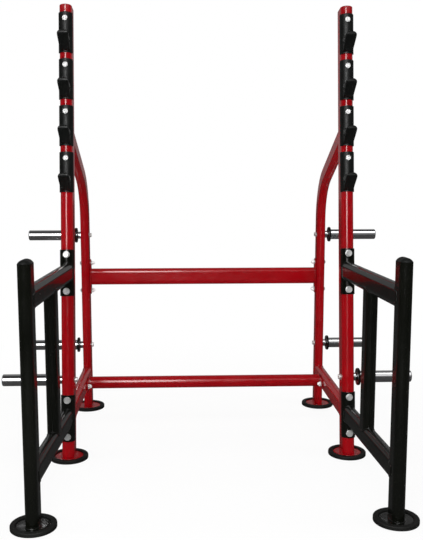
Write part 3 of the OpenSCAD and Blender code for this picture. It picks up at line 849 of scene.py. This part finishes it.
for (name, side), (sign, x, y, z, width) in peg_places.items():
    at = facing_out(sign, x, y, z) @ Matrix.Translation((0, 0, -width - WASHER_T))
    washers.append(placed(flat_washer(), at))
    bolt = hex_bolt(SMALL_HEX, SMALL_HEAD_H, WASHER_T + width + SPACER_L + FLANGE_T + PEG_THREAD)
    peg_bolts.append(placed(bolt, at @ Matrix.Rotation(math.pi, 4, "X")))
piece("crossmember_screws", joined(cross_bolts), "zinc", ["crossmember_bolts"])
dome_nuts = piece("crossmember_dome_nuts", joined(cross_nuts), "zinc", ["crossmember_nuts"])
# The dome nuts take the zinc copy with painted glare
dome_nuts.data.materials[0] = zinc_painted_glare
piece("plain_washers", joined(washers), "zinc", ["flat_washers"])
piece("peg_hex_bolts", joined(peg_bolts), "zinc", ["peg_bolts"])

# ---- Weld beads, along the line where a tube meets what it is welded to ----


def in_oval(u, v, w, d):
    return math.hypot(u, max(abs(v) - (d - w) / 2, 0)) <= w / 2


def meeting_line(outline, origin, across, up, along, inside, limit):
    """Points at which lines along a tube's surface first enter a solid, each no further than limit."""
    points = []
    for u, v in outline:
        start = origin + across * u + up * v
        reach = 0.0
        while reach < limit and not inside(start + along * reach):
            reach += 2.0
        low, high = max(reach - 2.0, 0.0), min(reach, limit)
        if reach < limit:
            for _ in range(14):
                centre = (low + high) / 2
                if inside(start + along * centre):
                    high = centre
                else:
                    low = centre
        points.append(start + along * high)
    return points


def evenly(points, spacing):
    """Closed line resampled at even steps."""
    lengths = [(points[(i + 1) % len(points)] - p).length for i, p in enumerate(points)]
    total = sum(lengths)
    count = max(int(total / spacing), 24)
    made, i, walked = [], 0, 0.0
    for k in range(count):
        target = total * k / count
        while walked + lengths[i] < target:
            walked += lengths[i]
            i += 1
        share = (target - walked) / max(lengths[i], 1e-9)
        made.append(points[i].lerp(points[(i + 1) % len(points)], share))
    return made


def bead(points, r, seed):
    """Rippled weld bead round a closed line."""
    line = evenly(points, 1.1)
    n = len(line)
    centre = sum(line, Vector()) / n
    rings = []
    for k, p in enumerate(line):
        tangent = (line[(k + 1) % n] - line[k - 1]).normalized()
        out = p - centre
        out = (out - tangent * out.dot(tangent)).normalized()
        side_way = tangent.cross(out)
        wobble = noise.noise(Vector((k * 0.21, seed * 7.3, 0.0)))
        size = r * (1 + 0.09 * math.sin(k * 2 * math.pi / 4) + 0.16 * wobble)
        rings.append([p + (out * math.cos(a) + side_way * math.sin(a)) * size
                      for a in (2 * math.pi * i / 10 for i in range(10))])
    return stack(rings, loop=True)


def beads_of(side, sign):
    main, frame_axes = on_main(sign), in_side_frame(sign)
    main_back, frame_back = main.inverted(), frame_axes.inverted()
    x_way, z_up, back = Vector((1, 0, 0)), Vector((0, 0, 1)), Vector((0, 1, 0))
    ahead = (frame_axes.to_3x3() @ Vector((0, -1, 0))).normalized()
    across = (frame_axes.to_3x3() @ x_way).normalized()
    foot = Vector((sign * half_spacing, main_y, 0))

    def in_main(p):
        q = main_back @ p
        return in_oval(q.x, q.y, MAIN_W, MAIN_D)

    def in_saddle(p):
        q = main_back @ p
        round_front = math.hypot(q.x, q.y + main_arc_y) <= saddle_outer_r
        return round_front or (abs(q.x) <= saddle_outer_r and q.y > -main_arc_y)

    def in_post(p):
        q = frame_back @ p
        return in_oval(q.x, q.y + front_reach, FRAME_W, POST_D)

    def in_rail(z):
        def inside(p):
            q = frame_back @ p
            return in_oval(q.x, q.z - z, FRAME_W + 0.1, RAIL_H)
        return inside

    def in_rear(p):
        return in_oval(p.x - sign * half_spacing, p.y - rear_y, REAR_W, REAR_D)

    rail, post = oval(FRAME_W, RAIL_H), oval(FRAME_W, POST_D)
    black, red = [], []
    for z in (safety_z, guard_z):
        half_way = foot + ahead * (front_reach * 0.72) + z_up * z
        black.append(meeting_line(rail, half_way, across, z_up, ahead, in_post, 400))
        near = foot + ahead * 160 + z_up * z
        black.append(meeting_line(rail, near, across, z_up, -ahead, in_saddle, 400))
    strut = foot + ahead * STRUT_REACH + z_up * ((safety_z + guard_z) / 2)
    black.append(meeting_line(post, strut, across, ahead, z_up, in_rail(safety_z), 400))
    black.append(meeting_line(post, strut, across, ahead, -z_up, in_rail(guard_z), 400))
    stand = frame_axes @ Vector((0, -front_reach, PLATE_TOP))
    black.append([stand + across * u + ahead * v for u, v in post])
    red.append([main @ Vector(p) for p in main_foot_line()])
    red.append([Vector((sign * half_spacing + x, rear_y + y, PLATE_TOP)) for x, y in oval(REAR_W, REAR_D)])
    between = Vector((sign * half_spacing, (main_y + rear_y) / 2, low_z))
    red.append(meeting_line(rail, between, x_way, z_up, -back, in_main, 600))
    to_rear = rear_y - (REAR_D - REAR_W) / 2 - between.y
    red.append(meeting_line(rail, between, x_way, z_up, back, in_rear, to_rear))
    bend = math.radians(BEND_ANGLE)
    slant = Vector((0, -math.sin(bend), math.cos(bend)))
    slant_up = Vector((0, math.cos(bend), math.sin(bend)))
    start = Vector((sign * half_spacing, rear_y - BEND_R, BEND_Z)) + slant_up * BEND_R
    red.append(meeting_line(oval(REAR_W, REAR_D), start, x_way, slant_up, slant, in_main, 700))
    return black, red


seed = 0
for side, sign in SIDES:
    black, red = beads_of(side, sign)
    red.append([Vector((sign * beam_end_x, rear_y + y, beam_z + z)) for y, z in oval(BEAM_W, BEAM_H)])
    red.append([Vector((sign * bar_end_x, bar_y + bar_r * math.cos(a), low_z + bar_r * math.sin(a)))
                for a in (2 * math.pi * i / 48 for i in range(48))])
    for slot, lines in (("black_paint", black), ("red_paint", red)):
        shapes = []
        for line in lines:
            seed += 1
            shapes.append(bead(line, WELD_R, seed))
        piece(f"welds_{slot.split('_')[0]}_{side}", joined(shapes), slot, sharp=60)

for obj in list(bpy.context.scene.objects):
    if obj.type == "MESH" and "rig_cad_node" not in obj:
        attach(obj, "root")

# ---- Floor, light and camera ----

floor_mesh = bpy.data.meshes.new("floor")
floor_mesh.from_pydata([(-30, -30, 0), (30, -30, 0), (30, 30, 0), (-30, 30, 0)], [], [(0, 1, 2, 3)])
floor = linked("floor", floor_mesh)
floor_mat = bpy.data.materials.new("pale_floor")
t = Tree(floor_mat)
coordinates = t.add("TexCoord").outputs["Object"]
away = t.add("VectorMath", {0: coordinates}, operation="LENGTH").outputs["Value"]
fade = t.add("MapRange", {"Value": away, "From Min": 1.1, "From Max": 2.4}, interpolation_type="SMOOTHSTEP")
lit = t.add("BsdfDiffuse", {"Color": (0.88, 0.88, 0.875, 1)}).outputs[0]
glow = t.add("Emission", {"Color": (1, 1, 1, 1), "Strength": 1.0}).outputs[0]
pale = t.add("MixShader", {0: 0.9, 1: lit, 2: glow}).outputs[0]
seen = t.add("MixShader", {0: fade.outputs["Result"], 1: pale, 2: glow}).outputs[0]
unseen = t.add("BsdfDiffuse", {"Color": (0.06, 0.06, 0.06, 1)}).outputs[0]
path = t.add("LightPath")
bounce = t.add("BsdfDiffuse", {"Color": (0.55, 0.55, 0.55, 1)}).outputs[0]
unseen = t.add("MixShader", {0: path.outputs["Is Diffuse Ray"], 1: unseen, 2: bounce}).outputs[0]
shown = t.add("MixShader", {0: path.outputs["Is Camera Ray"], 1: unseen, 2: seen}).outputs[0]
t.tree.links.new(shown, t.add("OutputMaterial").inputs[0])
floor_mesh.materials.append(floor_mat)

world = bpy.data.worlds.new("studio")
bpy.context.scene.world = world
t = Tree(world)
paths = t.add("LightPath")
direction = t.add("SeparateXYZ", {0: t.add("TexCoord").outputs["Generated"]})
behind = t.ramp(direction.outputs["Y"], -0.1, 0.8, 0.010, 0.24)
rise = t.ramp(direction.outputs["Z"], 0.42, 0.52)
fall = t.ramp(direction.outputs["Z"], 0.86, 0.72)
front = t.ramp(direction.outputs["Y"], 0.0, -0.25)
bank = t.times(t.times(rise, fall), front)
mirrored = t.add("Math", {0: bank, 1: 0.9, 2: behind}, operation="MULTIPLY_ADD").outputs[0]
spread = t.times(paths.outputs["Is Diffuse Ray"], 0.45)
not_diffuse = t.add("Math", {0: 1.0, 1: paths.outputs["Is Diffuse Ray"]}, operation="SUBTRACT").outputs[0]
strength = t.add("Math", {0: spread, 1: t.times(mirrored, not_diffuse)}, operation="ADD").outputs[0]
soft = t.add("Background", {"Color": (1, 1, 1, 1), "Strength": strength}).outputs[0]
white = t.add("Background", {"Color": (1, 1, 1, 1), "Strength": 1.0}).outputs[0]
t.tree.links.new(t.add("MixShader", {0: paths.outputs["Is Camera Ray"], 1: soft, 2: white}).outputs[0],
                 t.add("OutputWorld").inputs[0])


def area_light(name, place, target, size_x, size_y, power, mirrored=False, diffuse=True):
    data = bpy.data.lights.new(name, "AREA")
    data.shape = "RECTANGLE"
    data.size, data.size_y = size_x, size_y
    data.energy = power
    obj = linked(name, data)
    obj.location = place
    obj.visible_glossy = mirrored
    obj.visible_diffuse = diffuse
    obj.rotation_euler = (Vector(target) - Vector(place)).to_track_quat("-Z", "Y").to_euler()
    return obj


area_light("gloss_softbox", (-0.75, -3.9, 2.9), (0, 0.1, 1.2), 1.3, 2.9, 170, mirrored=True, diffuse=False)
area_light("key_softbox", (-0.5, -2.9, 0.9), (0, 0, 0.75), 1.4, 0.8, 60)
area_light("top_softbox", (0.2, 0.2, 4.2), (0, 0.1, 0.0), 2.6, 2.6, 45)
area_light("left_fill", (-3.2, -0.6, 1.1), (0, 0, 0.7), 1.0, 1.6, 24)
area_light("right_fill", (3.2, -0.6, 1.1), (0, 0, 0.7), 1.0, 1.6, 24)
area_light("back_fill", (0.0, 3.4, 1.6), (0, 0.2, 0.8), 2.4, 1.6, 30)

# Cards that light only the pegs and spacers: chrome needs something pale to mirror, and black paint doesn't
CARDS = (
    ("peg_card_left", "left", (-1.75, -3.6, 1.9), (-1.75, 0, 0.8), 3.3, 3.0, 60),
    ("peg_card_right", "right", (1.9, -3.6, 1.9), (1.9, 0, 0.8), 3.4, 3.0, 6),
    ("peg_strip_right", "right", (1.25, -0.85, 3.3), (1.25, -0.8, 0.8), 1.8, 1.1, 16),
)
for name, side, place, target, size_x, size_y, power in CARDS:
    card = area_light(name, place, target, size_x, size_y, power, mirrored=True, diffuse=False)
    group = bpy.data.collections.new(f"receivers_of_{name}")
    card.light_linking.receiver_collection = group
    for peg in PEGS:
        group.objects.link(bpy.data.objects[f"peg_{peg}_{side}"])
    group.objects.link(bpy.data.objects["spacer_rings"])

scene = bpy.context.scene
scene.view_settings.view_transform = "Standard"
camera_data = bpy.data.cameras.new("camera")
camera = linked("camera", camera_data)
camera.location = (-0.1206, -3.0559, 1.1702)
camera.rotation_euler = (math.pi / 2 - 0.128, 0.001, -0.036)
camera_data.lens = 50.25
camera_data.sensor_width = 36
camera_data.shift_x = 0.0103
camera_data.shift_y = 0.00065
camera_data.clip_end = 100
scene.camera = camera
